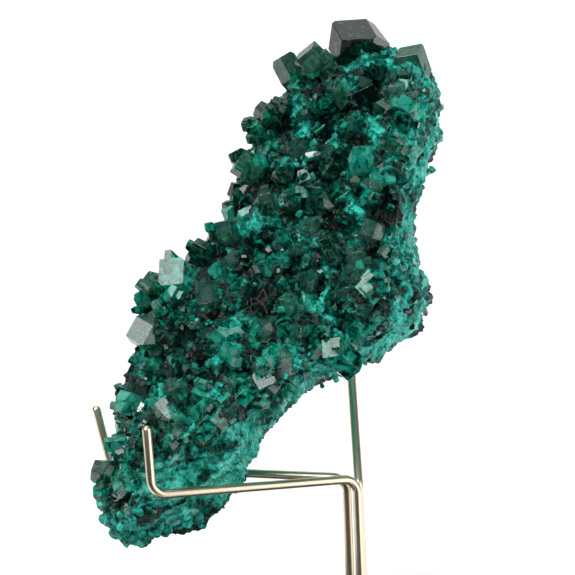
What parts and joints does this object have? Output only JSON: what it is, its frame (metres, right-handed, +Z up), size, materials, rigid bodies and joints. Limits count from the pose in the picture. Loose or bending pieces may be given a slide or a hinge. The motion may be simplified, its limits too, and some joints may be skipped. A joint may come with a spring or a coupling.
{
  "type": "dioptase mineral specimen on a wire stand",
  "caption": "Upright slab of rock crusted with stubby green dioptase crystals, gripped between two hooked wires and a rear rest wire set in a flat foot.",
  "frame": {"origin": "centre of the underside of the stand's foot, on the surface that it stands on", "axes": "+Z up, -Y towards the viewer that the crystal face looks at, +X to that viewer's right"},
  "size_m": [0.0836, 0.06, 0.1395],
  "materials": {
    "dioptase": "deep emerald crystals with glassy faces on rough turquoise rock",
    "wire": "pale satin drawn wire",
    "foot": "satin black enamel"
  },
  "bodies": {
    "root": {"dioptase_specimen": "dioptase", "front_arm_wire": "wire", "rear_arm_wire": "wire", "back_rest_wire": "wire", "stand_foot": "foot"}
  },
  "joints": []
}
